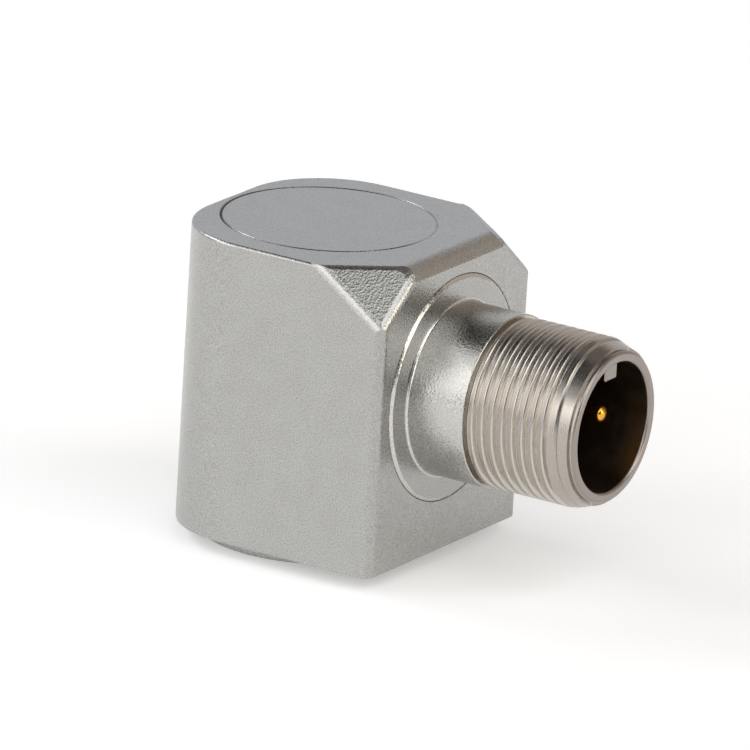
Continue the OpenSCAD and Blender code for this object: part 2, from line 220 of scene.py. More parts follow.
def makeBlastedSteel(name, s):
    material, tree = startMaterial(name)
    coord = addNode(tree, "ShaderNodeTexCoord").outputs["Object"]
    grain = addNode(tree, "ShaderNodeTexNoise", None, Vector=coord, Scale=1 / (s["grainMm"] * mm),
                    Detail=2.0, Roughness=0.6).outputs["Fac"]
    mottle = addNode(tree, "ShaderNodeTexNoise", None, Vector=coord, Scale=1 / (s["mottleMm"] * mm),
                     Detail=3.0, Roughness=0.55).outputs["Fac"]
    tone = addNode(tree, "ShaderNodeMix", {"data_type": "RGBA"}, i0=mottle, i6=hexToLinear(s["colour"]),
                   i7=hexToLinear(s["mottleColour"])).outputs[2]
    speck = addNode(tree, "ShaderNodeMapRange", None, Value=grain, From_Min=0.3, From_Max=0.7,
                    To_Min=1 - s["speck"], To_Max=1 + s["speck"]).outputs[0]
    tone = addNode(tree, "ShaderNodeVectorMath", {"operation": "SCALE"}, i0=tone, Scale=speck).outputs[0]
    # distance from each seam's circle, 1 on the seam and 0 past its width
    split = addNode(tree, "ShaderNodeSeparateXYZ", None, Vector=coord).outputs
    flangeSeam = connector["flange"] + connector["seamGap"] / 2
    seams = []
    for flatten, height, radius, width, level, face in (
            ((1, 1, 0), 0, lid["radius"] + lid["gap"] / 2, s["lidSeamMm"], split["Z"], housing["top"]),
            ((0, 1, 1), connector["height"], flangeSeam, s["flangeSeamMm"], split["X"], housing["front"])):
        around = addNode(tree, "ShaderNodeVectorMath", {"operation": "SUBTRACT"}, i0=coord,
                         i1=(0, 0, height * mm)).outputs[0]
        around = addNode(tree, "ShaderNodeVectorMath", {"operation": "MULTIPLY"}, i0=around,
                         i1=flatten).outputs[0]
        reach = addNode(tree, "ShaderNodeVectorMath", {"operation": "LENGTH"}, i0=around).outputs["Value"]
        away = addNode(tree, "ShaderNodeMath", {"operation": "SUBTRACT"}, i0=reach, i1=radius * mm).outputs[0]
        away = addNode(tree, "ShaderNodeMath", {"operation": "ABSOLUTE"}, i0=away).outputs[0]
        onSeam = addNode(tree, "ShaderNodeMapRange", {"interpolation_type": "SMOOTHSTEP"}, Value=away,
                         From_Min=0.0, From_Max=width * mm, To_Min=1.0, To_Max=0.0).outputs[0]
        near = addNode(tree, "ShaderNodeMath", {"operation": "GREATER_THAN"}, i0=level,
                       i1=(face - s["seamDepthMm"]) * mm).outputs[0]
        seam = addNode(tree, "ShaderNodeMath", {"operation": "MULTIPLY"}, i0=onSeam, i1=near).outputs[0]
        seams.append(seam)
    # the lid's seam is dressed flush on one side, where its tint fades
    flush = math.radians(lid["flushAngle"])
    side = addNode(tree, "ShaderNodeVectorMath", {"operation": "DOT_PRODUCT"}, i0=coord,
                   i1=(math.cos(flush), math.sin(flush), 0)).outputs["Value"]
    rim = lid["radius"] * mm
    fade = addNode(tree, "ShaderNodeMapRange", None, Value=side, From_Min=lid["fadeFrom"] * rim,
                   From_Max=lid["fadeTo"] * rim, To_Min=1.0, To_Max=lid["fadeLeft"]).outputs[0]
    lidTint = addNode(tree, "ShaderNodeMath", {"operation": "MULTIPLY"}, i0=seams[0], i1=fade).outputs[0]
    flangeTint = addNode(tree, "ShaderNodeMath", {"operation": "MULTIPLY"}, i0=seams[1],
                         i1=s["flangeTint"]).outputs[0]
    tint = addNode(tree, "ShaderNodeMath", {"operation": "MAXIMUM"}, i0=lidTint, i1=flangeTint).outputs[0]
    colour = addNode(tree, "ShaderNodeMix", {"data_type": "RGBA"}, i0=tint, i6=tone,
                     i7=hexToLinear(s["tint"])).outputs[2]
    rough = addNode(tree, "ShaderNodeMapRange", None, Value=grain, From_Min=0.3, From_Max=0.7,
                    To_Min=s["roughLow"], To_Max=s["roughHigh"]).outputs[0]
    pits = addNode(tree, "ShaderNodeTexVoronoi", None, Vector=coord, Scale=1 / (s["pitMm"] * mm))
    bump = addNode(tree, "ShaderNodeBump", None, Strength=1.0, Distance=s["pitDepthMm"] * mm,
                   Height=pits.outputs["Distance"]).outputs[0]
    shader = addNode(tree, "ShaderNodeBsdfPrincipled", None, Metallic=1.0, Base_Color=colour,
                     Roughness=rough, Normal=bump)
    closeMaterial(tree, shader)
    return material


# 316L stainless, turned and left bright: fine rings from the tool, crisp narrow highlights
turnedSteel = {
    "colour": "#afa9a2", "roughLow": 0.2, "roughHigh": 0.34, "toolMm": 0.1, "toolDepthMm": 0.006,
    "smudgeMm": 1.6, "smudge": 0.45}
# the thread's flanks are painted brighter than its crests: a painted reflection of the bright floor they face
flankPaintedReflection = {**turnedSteel, "colour": "#cbc5bd"}
# its crests are painted darker: painted shade
crestPaintedShade = {**turnedSteel, "colour": "#a29c95"}
# the bore is turned smoother and sees little light; its dark brown colour is painted shade of the deep
# socket, warmed by a painted reflection of the gold pins
boredPaintedShade = {
    **turnedSteel, "colour": "#7a6c5c", "roughLow": 0.28, "roughHigh": 0.42, "toolMm": 0.08,
    "toolDepthMm": 0.001}
# the rim is faced and a little rougher; its darker grey is painted shade
rimPaintedShade = {
    **turnedSteel, "colour": "#9c948d", "roughLow": 0.24, "roughHigh": 0.36, "toolMm": 0.08,
    "toolDepthMm": 0.002}


def makeTurnedSteel(name, s):
    material, tree = startMaterial(name)
    coord = addNode(tree, "ShaderNodeTexCoord").outputs["Object"]
    centred = addNode(tree, "ShaderNodeVectorMath", {"operation": "SUBTRACT"}, i0=coord,
                      i1=(0, 0, connector["height"] * mm)).outputs[0]
    radial = addNode(tree, "ShaderNodeVectorMath", {"operation": "MULTIPLY"}, i0=centred,
                     i1=(0, 1, 1)).outputs[0]
    reach = addNode(tree, "ShaderNodeVectorMath", {"operation": "LENGTH"}, i0=radial).outputs["Value"]
    split = addNode(tree, "ShaderNodeSeparateXYZ", None, Vector=coord).outputs
    section = addNode(tree, "ShaderNodeCombineXYZ", None, X=split["X"], Y=reach).outputs[0]
    rings = addNode(tree, "ShaderNodeTexNoise", {"noise_dimensions": "2D"}, Vector=section,
                    Scale=1 / (s["toolMm"] * mm), Detail=2.0).outputs["Fac"]
    smudge = addNode(tree, "ShaderNodeTexNoise", None, Vector=coord, Scale=1 / (s["smudgeMm"] * mm),
                     Detail=2.0).outputs["Fac"]
    blend = addNode(tree, "ShaderNodeMix", {"data_type": "FLOAT"}, i0=s["smudge"], i2=rings,
                    i3=smudge).outputs[0]
    rough = addNode(tree, "ShaderNodeMapRange", None, Value=blend, From_Min=0.35, From_Max=0.65,
                    To_Min=s["roughLow"], To_Max=s["roughHigh"]).outputs[0]
    bump = addNode(tree, "ShaderNodeBump", None, Strength=1.0, Distance=s["toolDepthMm"] * mm,
                   Height=rings).outputs[0]
    shader = addNode(tree, "ShaderNodeBsdfPrincipled", None, Metallic=1.0,
                     Base_Color=hexToLinear(s["colour"]), Roughness=rough, Normal=bump)
    closeMaterial(tree, shader)
    return material


housingSteel = makeBlastedSteel("stainless_316L_bead_blasted", blastedSteel)
# the connector's neck was blasted over a turned surface, with the same grain; its colour is painted a little
# brighter as a painted highlight
neckPaintedHighlight = {**blastedSteel, "colour": "#c8c7c2", "mottleColour": "#bdbbb6"}
neckSteel = makeBlastedSteel("stainless_316L_neck_blasted_painted_highlight", neckPaintedHighlight)
# the weld round the flange and the radius at the neck's foot are smooth, as the tool left them, and painted
# brighter: a painted highlight along those rings
weldPaintedHighlight = {
    **blastedSteel, "colour": "#d4d2cc", "mottleColour": "#cac8c2", "roughLow": 0.16, "roughHigh": 0.26,
    "pitDepthMm": 0.008}
weldHighlightSteel = makeBlastedSteel("stainless_316L_weld_painted_highlight", weldPaintedHighlight)
shellSteel = makeTurnedSteel("stainless_316L_turned", turnedSteel)
flankSteel = makeTurnedSteel("stainless_316L_thread_flank_painted_reflection", flankPaintedReflection)
landSteel = makeTurnedSteel("stainless_316L_thread_crest_painted_shade", crestPaintedShade)
socketSteel = makeTurnedSteel("stainless_316L_bore_painted_shade", boredPaintedShade)
rimSteel = makeTurnedSteel("stainless_316L_rim_painted_shade", rimPaintedShade)


# general finish for small pieces: two tones in a grain, roughness and a slight relief that follow it
# a finish with an ior is not a metal
def makeGrained(name, s):
    material, tree = startMaterial(name)
    coord = addNode(tree, "ShaderNodeTexCoord").outputs["Object"]
    stretched = addNode(tree, "ShaderNodeVectorMath", {"operation": "MULTIPLY"}, i0=coord,
                        i1=s.get("stretch", (1, 1, 1))).outputs[0]
    grain = addNode(tree, "ShaderNodeTexNoise", None, Vector=stretched, Scale=1 / (s["grainMm"] * mm),
                    Detail=3.0, Roughness=0.6).outputs["Fac"]
    spread = addNode(tree, "ShaderNodeMapRange", None, Value=grain, From_Min=0.35, From_Max=0.65).outputs[0]
    tone = addNode(tree, "ShaderNodeMix", {"data_type": "RGBA"}, i0=spread, i6=hexToLinear(s["colour"]),
                   i7=hexToLinear(s["second"])).outputs[2]
    rough = addNode(tree, "ShaderNodeMapRange", None, Value=grain, From_Min=0.35, From_Max=0.65,
                    To_Min=s["rough"] - 0.05, To_Max=s["rough"] + 0.07).outputs[0]
    bump = addNode(tree, "ShaderNodeBump", None, Strength=1.0, Distance=s["depthMm"] * mm,
                   Height=grain).outputs[0]
    shader = addNode(tree, "ShaderNodeBsdfPrincipled", None, Metallic=0.0 if "ior" in s else 1.0,
                     Base_Color=tone, Roughness=rough, Normal=bump)
    if "ior" in s:
        shader.inputs["IOR"].default_value = s["ior"]
    closeMaterial(tree, shader)
    return material


# block with a round back, a slanted cut over each top front corner, and soft edges all round
def makeHousingBlock(s):
    bm = bmesh.new()
    w, top, low = s["width"] / 2, s["top"], s["bottom"]
    plan = []
    for x, y, r, start, steps in (
            (s["front"] - s["frontEdge"], w - s["frontEdge"], s["frontEdge"], 0, s["frontSteps"]),
            (s["backRadius"] - s["back"], w - s["backRadius"], s["backRadius"], 90, s["backSteps"]),
            (s["backRadius"] - s["back"], s["backRadius"] - w, s["backRadius"], 180, s["backSteps"]),
            (s["front"] - s["nearEdge"], s["nearEdge"] - w, s["nearEdge"], 270, s["frontSteps"])):
        for k in range(steps + 1):
            t = math.radians(start + 90 * k / steps)
            plan.append((x + r * math.cos(t), y + r * math.sin(t)))
    lower, upper = ([bm.verts.new((x * mm, y * mm, z * mm)) for x, y in plan] for z in (low, top))
    bm.faces.new(upper)
    bm.faces.new(list(reversed(lower)))
    for k in range(len(plan)):
        n = (k + 1) % len(plan)
        bm.faces.new((lower[k], lower[n], upper[n], upper[k]))

    def trim(point, normal):
        everything = bm.verts[:] + bm.edges[:] + bm.faces[:]
        cut = bmesh.ops.bisect_plane(bm, geom=everything, dist=1e-9, plane_co=point * mm, plane_no=normal,
                                     clear_outer=True)
        rim = [part for part in cut["geom_cut"] if isinstance(part, bmesh.types.BMEdge)]
        bmesh.ops.contextual_create(bm, geom=rim)

    # rounds the edge between two planes that meet at corner, by tangent trims
    def roundEdge(corner, first, second, size):
        spread = first.angle(second)
        turn = size / math.tan(spread / 2)
        middle = corner - (first + second).normalized() * (turn / math.cos(spread / 2))
        for k in range(s["cutSteps"]):
            outward = first.slerp(second, (k + 0.5) / s["cutSteps"])
            trim(middle + outward * turn, outward)

    # the top front edge is an arc, level with the top and at an angle to the front
    radius = s["topFrontRadius"]
    sweep = math.acos(1 - s["topFrontDrop"] / radius)
    arcCentre = Vector((s["front"] - radius * math.sin(sweep), 0, top - radius))
    for k in range(s["frontSteps"]):
        t = sweep * (k + 0.5) / s["frontSteps"]
        outward = Vector((math.sin(t), 0, math.cos(t)))
        trim(arcCentre + outward * radius, outward)
    cutX, cutY, cutZ = s["cut"]
    for side in (-1, 1):
        lean = Vector((1 / cutX, side / cutY, 1 / cutZ)).normalized()
        behind = Vector((s["front"] - cutX, side * w, top))
        inside = Vector((s["front"], side * (w - cutY), top))
        trim(behind, lean)
        neighbours = (Vector((0, side, 0)), Vector((1, 0, 0)), Vector((0, 0, 1)))
        for corner, beside, size in zip((behind, inside, behind), neighbours, s["cutEdges"]):
            roundEdge(corner, lean, beside, size)
        # flat breaks where the cut meets the rounded top front edge
        for degrees in s["arcBreaks"]:
            beside = Vector((math.sin(math.radians(degrees)), 0, math.cos(math.radians(degrees))))
            corner = intersect_plane_plane(behind, lean, arcCentre + beside * radius, beside)[0]
            between = (lean + beside).normalized()
            trim(corner - between * (s["arcBreak"] * math.sin(lean.angle(beside) / 2)), between)
    bmesh.ops.recalc_face_normals(bm, faces=bm.faces)
    weight = bm.edges.layers.float.new("bevel_weight_edge")
    for edge in bm.edges:
        ends = [v.co.z / mm for v in edge.verts]
        if min(ends) > top - 1e-4 and edge.calc_face_angle() > math.radians(80):
            size = s["topEdge"]
        elif max(ends) < low + 1e-4:
            size = s["bottomEdge"]
        else:
            size = 0
        edge[weight] = size / s["topEdge"]
    mesh = bpy.data.meshes.new("housing_block")
    bm.to_mesh(mesh)
    bm.free()
    piece = addObject("housing_body", mesh)
    bevel = piece.modifiers.new("edges", "BEVEL")
    bevel.limit_method = "WEIGHT"
    bevel.width = s["topEdge"] * mm
    bevel.segments = s["edgeSteps"]
    bevel.use_clamp_overlap = False
    return settle(piece)


# width of the lid's seam at an angle: open most of the way round, dressed flush on one side
def lidSeam(angle):
    away = abs((math.degrees(angle) - lid["flushAngle"] + 180) % 360 - 180)
    t = min(max((away - lid["flushHalf"]) / (lid["openHalf"] - lid["flushHalf"]), 0), 1)
    return lid["flushSeam"] + (lid["seam"] - lid["flushSeam"]) * t * t * (3 - 2 * t)


def lidSeat(angle):
    seam, seat, over = lidSeam(angle), lid["radius"] + lid["gap"], 0.5
    top, cavity = housing["top"], housing["cavityRadius"]
    shelf = top - lid["thickness"]
    return [(housing["floor"], 0), (housing["floor"], cavity), (shelf, cavity), (shelf, seat),
            (top - seam, seat), (top + over, seat + seam + over), (top + over, 0)]


stud = {
    "wall": 2.75, "root": 3.175, "sleeve": 3.2, "depth": 6.4, "point": 8.05, "pitch": 25.4 / 28,
    "runOut": 3.3, "runOutLength": 0.5, "segments": 72}
housingBody = makeHousingBlock(housing)
bossTop, bossRadius = housing["bottom"] + housing["bossSunk"], housing["bossRadius"]
bossCorners = [(0, 0, 0), (0, bossRadius, housing["bossEdge"]), (bossTop, bossRadius, 0), (bossTop, 0, 0)]
bossProfile = roundProfile(bossCorners, housing["edgeSteps"])
cutWith(housingBody, turnedMesh("boss", bossProfile, housing["segments"], "z"), "UNION")
cutWith(housingBody, turnedMesh("lid_cut", lidSeat, housing["segments"], "z"), "DIFFERENCE")
c = connector
seat, bore, over = c["flange"] + c["seamGap"], c["spigot"] + c["seamGap"], 0.5
flangeBack = -c["flangeThickness"]
flangeSeat = [(-housing["front"], 0), (-housing["front"], bore), (flangeBack, bore), (flangeBack, seat),
              (-c["seam"], seat), (over, seat + c["seam"] + over), (over, 0)]
flangeCut = turnedMesh("flange_cut", flangeSeat, housing["segments"], "x", connectorOrigin)
cutWith(housingBody, flangeCut, "DIFFERENCE")
studCut = [(-1, 0), (-1, stud["sleeve"]), (stud["depth"], stud["sleeve"]), (stud["depth"], stud["wall"]),
           (stud["point"], 0)]
cutWith(housingBody, turnedMesh("stud_cut", studCut, stud["segments"], "z"), "DIFFERENCE")
housingBody.data.materials.append(housingSteel)
shadeMachined(housingBody, 10)
placePiece(housingBody, "housing_steel", "housing")


def lidProfile(angle):
    seam, top, under = lidSeam(angle), housing["top"], housing["top"] - lid["thickness"]
    spigot, foot, lead = housing["cavityRadius"] - lid["gap"], under - lid["step"], lid["lead"]
    return [(top, 0), (top, lid["radius"] - seam), (top - seam, lid["radius"]), (under, lid["radius"]),
            (under, spigot), (foot + lead, spigot), (foot, spigot - lead), (foot, 0)]


lidBody = addObject("lid_disc", turnedMesh("lid_disc", lidProfile, housing["segments"], "z"), housingSteel)
shadeMachined(lidBody, 30)
placePiece(lidBody, "housing_steel", "top_lid")


# shape of both threads, as shares of a pitch from the middle of the groove
thread = {"rowsPerPitch": 16, "rootShare": 0.04, "crestShare": 0.27, "mergeMm": 0.002}


# helical thread: a grid whose rows follow the helix, wrapped round an axis and joined to the mesh given
def makeThreadTree(name):
    tree = bpy.data.node_groups.new(name, "GeometryNodeTree")
    tree.interface.new_socket("Geometry", in_out="INPUT", socket_type="NodeSocketGeometry")
    labels = {
        "Int": ("Segments", "Rows"),
        "Float": ("Turns", "Pitch", "Start", "End", "Crest Radius", "Root Radius", "Foot Radius",
                  "Tip Radius", "Taper Start", "Limit Radius", "Root Share", "Crest Share", "Merge"),
        "Vector": ("Turned", "Origin"), "Material": ("Material",)}
    for kind, group in labels.items():
        for label in group:
            tree.interface.new_socket(label, in_out="INPUT", socket_type="NodeSocket" + kind)
    tree.interface.new_socket("Geometry", in_out="OUTPUT", socket_type="NodeSocketGeometry")
    source = tree.nodes.new("NodeGroupInput").outputs
    columns = addNode(tree, "ShaderNodeMath", {"operation": "ADD"}, i0=source["Segments"], i1=1.0).outputs[0]
    rows = addNode(tree, "ShaderNodeMath", {"operation": "ADD"}, i0=source["Rows"], i1=1.0).outputs[0]
    grid = addNode(tree, "GeometryNodeMeshGrid", None, Size_X=1.0, Size_Y=1.0, Vertices_X=columns,
                   Vertices_Y=rows)
    position = addNode(tree, "GeometryNodeInputPosition").outputs[0]
    spot = addNode(tree, "ShaderNodeSeparateXYZ", None, Vector=position).outputs
    turn = addNode(tree, "ShaderNodeMath", {"operation": "ADD"}, i0=spot[0], i1=0.5).outputs[0]
    row = addNode(tree, "ShaderNodeMath", {"operation": "ADD"}, i0=spot[1], i1=0.5).outputs[0]
    # each row starts one pitch early and is held at the two ends
    lead = addNode(tree, "ShaderNodeMath", {"operation": "MULTIPLY_ADD"}, i0=row, i1=source["Turns"],
                   i2=turn).outputs[0]
    lead = addNode(tree, "ShaderNodeMath", {"operation": "SUBTRACT"}, i0=lead, i1=1.0).outputs[0]
    along = addNode(tree, "ShaderNodeMath", {"operation": "MULTIPLY_ADD"}, i0=lead, i1=source["Pitch"],
                    i2=source["Start"]).outputs[0]
    along = addNode(tree, "ShaderNodeMath", {"operation": "MAXIMUM"}, i0=along, i1=source["Start"]).outputs[0]
    along = addNode(tree, "ShaderNodeMath", {"operation": "MINIMUM"}, i0=along, i1=source["End"]).outputs[0]
    # place within a pitch, 0 in the middle of the groove and 0.5 in the middle of the crest
    phase = addNode(tree, "ShaderNodeMath", {"operation": "SUBTRACT"}, i0=along,
                    i1=source["Start"]).outputs[0]
    phase = addNode(tree, "ShaderNodeMath", {"operation": "DIVIDE"}, i0=phase, i1=source["Pitch"]).outputs[0]
    phase = addNode(tree, "ShaderNodeMath", {"operation": "SUBTRACT"}, i0=phase, i1=turn).outputs[0]
    wave = addNode(tree, "ShaderNodeMath", {"operation": "PINGPONG"}, i0=phase, i1=0.5).outputs[0]
    flank = addNode(tree, "ShaderNodeMapRange", {"clamp": True}, Value=wave, From_Min=source["Root Share"],
                    From_Max=source["Crest Share"], To_Min=source["Root Radius"],
                    To_Max=source["Crest Radius"]).outputs[0]
    taper = addNode(tree, "ShaderNodeMapRange", {"clamp": True}, Value=along, From_Min=source["Taper Start"],
                    From_Max=source["End"], To_Min=source["Limit Radius"],
                    To_Max=source["Tip Radius"]).outputs[0]
    radius = addNode(tree, "ShaderNodeMath", {"operation": "MINIMUM"}, i0=flank, i1=taper).outputs[0]
    # the first and last rows close against the turned mesh
    for operation, limit, end in (
            ("LESS_THAN", 1e-6, "Foot Radius"), ("GREATER_THAN", 1 - 1e-6, "Tip Radius")):
        atEnd = addNode(tree, "ShaderNodeMath", {"operation": operation}, i0=row, i1=limit).outputs[0]
        radius = addNode(tree, "ShaderNodeMix", {"data_type": "FLOAT"}, i0=atEnd, i2=radius,
                         i3=source[end]).outputs[0]
    angle = addNode(tree, "ShaderNodeMath", {"operation": "MULTIPLY"}, i0=turn, i1=2 * math.pi).outputs[0]
    across = []
    for operation in ("COSINE", "SINE"):
        share = addNode(tree, "ShaderNodeMath", {"operation": operation}, i0=angle).outputs[0]
        part = addNode(tree, "ShaderNodeMath", {"operation": "MULTIPLY"}, i0=radius, i1=share).outputs[0]
        across.append(part)
    bent = addNode(tree, "ShaderNodeCombineXYZ", None, X=along, Y=across[0], Z=across[1]).outputs[0]
    stood = addNode(tree, "ShaderNodeVectorRotate", {"rotation_type": "EULER_XYZ"}, Vector=bent,
                    Rotation=source["Turned"]).outputs[0]
    placed = addNode(tree, "ShaderNodeVectorMath", {"operation": "ADD"}, i0=stood,
                     i1=source["Origin"]).outputs[0]
    shaped = addNode(tree, "GeometryNodeSetPosition", None, Geometry=grid.outputs[0], Position=placed)
    joined = tree.nodes.new("GeometryNodeJoinGeometry")
    tree.links.new(shaped.outputs[0], joined.inputs[0])
    tree.links.new(source["Geometry"], joined.inputs[0])
    merged = addNode(tree, "GeometryNodeMergeByDistance", None, Geometry=joined.outputs[0],
                     Distance=source["Merge"])
    real = addNode(tree, "GeometryNodeRealizeInstances", None, Geometry=merged.outputs[0])
    dressed = addNode(tree, "GeometryNodeSetMaterial", None, Geometry=real.outputs[0],
                      Material=source["Material"])
    addNode(tree, "NodeGroupOutput", None, Geometry=dressed.outputs[0])
    return tree


def growThread(piece, tree, pitch, length, values):
    turns = math.ceil(length / pitch) + 1
    values = {
        "Rows": thread["rowsPerPitch"] * turns, "Turns": float(turns), "Pitch": pitch * mm,
        "Root Share": thread["rootShare"], "Crest Share": thread["crestShare"],
        "Merge": thread["mergeMm"] * mm, "Material": shellSteel, **values}
    modifier = piece.modifiers.new("thread", "NODES")
    modifier.node_group = tree
    keys = {item.name: item.identifier for item in tree.interface.items_tree if item.in_out == "INPUT"}
    for label, value in values.items():
        modifier[keys[label]] = value
    settle(piece)
    bm = bmesh.new()
    bm.from_mesh(piece.data)
    bmesh.ops.dissolve_degenerate(bm, edges=bm.edges, dist=1e-7)
    ends = [edge for edge in bm.edges if edge.is_boundary]
    bmesh.ops.holes_fill(bm, edges=ends, sides=4)  # the helix leaves one small step at each end
    bmesh.ops.recalc_face_normals(bm, faces=bm.faces)
    bm.to_mesh(piece.data)
    bm.free()


threadTree = makeThreadTree("helical_thread")

# the weld has left the slope round the flange a little uneven
weld = {"seed": 7, "waves": 26, "height": 0.03, "counts": (14, 90), "sizes": (0.4, 1)}
weldRandom = random.Random(weld["seed"])
weldWaves = []
for k in range(weld["waves"]):
    count = weldRandom.randint(*weld["counts"])
    start = weldRandom.uniform(0, 2 * math.pi)
    weldWaves.append((count, start, weldRandom.uniform(*weld["sizes"])))


def weldRipple(angle):
    total = sum(size * math.sin(count * angle + start) for count, start, size in weldWaves)
    return weld["height"] * total / math.sqrt(weld["waves"])


def shellProfile(angle):
    ripple = weldRipple(angle)
    spigotEnd = -c["flangeThickness"] - c["spigotLength"]
    return roundProfile([
        (c["threadStart"], c["relief"], 0), (c["neckEnd"], c["relief"], c["edgeRound"]),
        (c["neckEnd"], c["neck"], c["neckRound"]), (c["crown"], c["neck"], c["neckFillet"]),
        (c["crown"], c["flange"] - c["crownSlope"] + ripple, c["crownRound"]),
        (-c["seam"] / 2 + ripple / 2, c["flange"], c["seamRound"]),
        (-c["flangeThickness"], c["flange"], c["edgeRound"]), (-c["flangeThickness"], c["spigot"], 0),
        (spigotEnd, c["spigot"], c["spigotRound"]), (spigotEnd, c["rear"], c["spigotRound"]),
        (c["glassBack"], c["rear"], 0), (c["glassBack"], c["socket"], 0),
        (c["reach"], c["socket"], c["lipRound"]), (c["reach"], c["lip"], c["lipRound"]),
        (c["taperEnd"], c["lip"], 0), (c["taperEnd"], c["taperRadius"], 0)])


shellTurned = turnedMesh("connector_body", shellProfile, c["segments"], "x", connectorOrigin)
shellBody = addObject("connector_body", shellTurned)
growThread(shellBody, threadTree, c["pitch"], c["taperEnd"] - c["threadStart"], {
    "Segments": c["segments"], "Start": c["threadStart"] * mm, "End": c["taperEnd"] * mm,
    "Crest Radius": c["crest"] * mm, "Root Radius": (c["crest"] - c["threadDepth"]) * mm,
    "Foot Radius": c["relief"] * mm, "Tip Radius": c["taperRadius"] * mm, "Taper Start": c["taperStart"] * mm,
    "Limit Radius": c["crest"] * mm, "Origin": [v * mm for v in connectorOrigin]})

# polarising key on the socket's upper wall, its free edges chamfered
key = {"width": 1.9, "height": 1.75, "length": 8.0, "setback": 0.6, "sunk": 0.3, "edge": 0.22}
bm = bmesh.new()
bmesh.ops.create_cube(bm, size=1)
keyFront = housing["front"] + c["reach"] - key["setback"]
keyTop = c["height"] + c["socket"] + key["sunk"]
for v in bm.verts:
    x = keyFront - key["length"] * (0.5 - v.co.x)
    z = keyTop - (key["height"] + key["sunk"]) * (0.5 - v.co.z)
    v.co = Vector((x, key["width"] * v.co.y, z)) * mm
free = [edge for edge in bm.edges if min(v.co.z for v in edge.verts) < (keyTop - key["sunk"]) * mm]
bmesh.ops.bevel(bm, geom=free, offset=key["edge"] * mm, segments=1, affect="EDGES")
keyMesh = bpy.data.meshes.new("key")
bm.to_mesh(keyMesh)
bm.free()
cutWith(shellBody, keyMesh, "UNION")
shellMesh = shellBody.data
shellMesh.materials.clear()
finishes = (shellSteel, flankSteel, landSteel, neckSteel, housingSteel, weldHighlightSteel, socketSteel, rimSteel)
for material in finishes:
    shellMesh.materials.append(material)
# where a finish ends: slack in mm, and how squarely a face has to look forward to count as faced
zone = {"bore": 0.05, "keyDepth": 0.1, "keyFacing": 0.3, "rimFacing": 0.4, "neck": 0.01, "edge": 0.02}
for face in shellMesh.polygons:
    spot = face.center / mm - Vector(connectorOrigin)
    reach, forward = math.hypot(spot.y, spot.z), face.normal.x
    onKey = reach < c["socket"] - zone["keyDepth"] and spot.z > 0 and abs(spot.y) < key["width"] / 2
    pastNeck = spot.x > c["neckEnd"] - zone["neck"]
    if onKey and forward > zone["keyFacing"]:
        finish = rimSteel
    elif reach < c["socket"] + zone["bore"] and spot.x < c["reach"] - c["lipRound"]:
        finish = socketSteel
    elif spot.x > c["taperEnd"] and forward > zone["rimFacing"]:
        finish = rimSteel
    elif pastNeck and spot.x < c["taperStart"]:
        finish = flankSteel if reach < c["crest"] - zone["edge"] else landSteel
    elif pastNeck:
        finish = shellSteel
    elif spot.x > c["crown"] + c["neckFillet"]:
        finish = neckSteel
    elif reach > c["flange"] - c["crownSlope"] or reach < c["neck"] + c["neckFillet"] - zone["edge"]:
        finish = weldHighlightSteel
    else:
        finish = housingSteel
    face.material_index = finishes.index(finish)
shadeMachined(shellBody, 32)
placePiece(shellBody, "turned_steel", "connector_shell")

# thread of the stud hole: a sleeve in the drilled wall, running out at its inner end
studProfile = [(0, stud["sleeve"]), (stud["depth"], stud["sleeve"]), (stud["depth"], stud["wall"])]
studBody = addObject("stud_thread", turnedMesh("stud_thread", studProfile, stud["segments"], "z"))
growThread(studBody, threadTree, stud["pitch"], stud["depth"], {
    "Segments": stud["segments"], "Start": 0.0, "End": stud["depth"] * mm, "Crest Radius": stud["wall"] * mm,
    "Root Radius": stud["root"] * mm, "Foot Radius": stud["sleeve"] * mm, "Tip Radius": stud["wall"] * mm,
    "Taper Start": (stud["depth"] - stud["runOutLength"]) * mm, "Limit Radius": stud["runOut"] * mm,
    "Turned": (0.0, -math.pi / 2, 0.0)})
shadeMachined(studBody, 32)
placePiece(studBody, "housing_steel")

# hermetic glass, fired black, creeping a little up the wall and the pins
glass = {
    "radius": 6.03, "wallRise": 0.22, "pinRise": 0.16, "reachMm": 0.3, "sunk": 0.05, "holePast": 2.7,
    "rings": 36, "segments": 96}
pin = {
    "radius": 0.785, "pitch": 5.3, "tip": 14.7, "nose": 0.5, "noseSteps": 8, "rear": -2.1, "rearEdge": 0.06,
    "cup": 0.5, "cupDepth": 1.8, "gap": 0.015, "segments": 48}


def glassProfile(angle):
    points = []
    for k in range(glass["rings"] + 1):
        r = glass["radius"] * (1 - k / glass["rings"])
        y, z = r * math.cos(angle), r * math.sin(angle)
        toPin = min(math.hypot(y - side * pin["pitch"] / 2, z) for side in (-1, 1)) - pin["radius"]
        rise = glass["wallRise"] * math.exp((r - glass["radius"]) / glass["reachMm"])
        rise += glass["pinRise"] * math.exp(-max(toPin, 0) / glass["reachMm"])
        points.append((c["glassFront"] + rise - glass["sunk"], r))
    return [(c["glassBack"], 0), (c["glassBack"], glass["radius"])] + points


# soda-barium sealing glass, fired black: deep, glossy and faintly wavy
sealGlass = {
    "colour": "#0b0a0a", "second": "#141110", "ior": 1.52, "rough": 0.09, "grainMm": 0.9, "depthMm": 0.01}
glassTurned = turnedMesh("glass_bead", glassProfile, glass["segments"], "x", connectorOrigin)
glassBody = addObject("glass_bead", glassTurned)
for side in (-1, 1):
    holeAt = (housing["front"], side * pin["pitch"] / 2, c["height"])
    holeRadius, holeEnd = pin["radius"] + pin["gap"], c["glassFront"] + glass["holePast"]
    hole = [(0, 0), (0, holeRadius), (holeEnd, holeRadius), (holeEnd, 0)]
    cutWith(glassBody, turnedMesh("pin_hole", hole, pin["segments"], "x", holeAt), "DIFFERENCE")
glassBody.data.materials.clear()
glassBody.data.materials.append(makeGrained("sealing_glass_fired_black", sealGlass))
shadeMachined(glassBody, 40)
placePiece(glassBody, "seal_glass", "glass_seal")

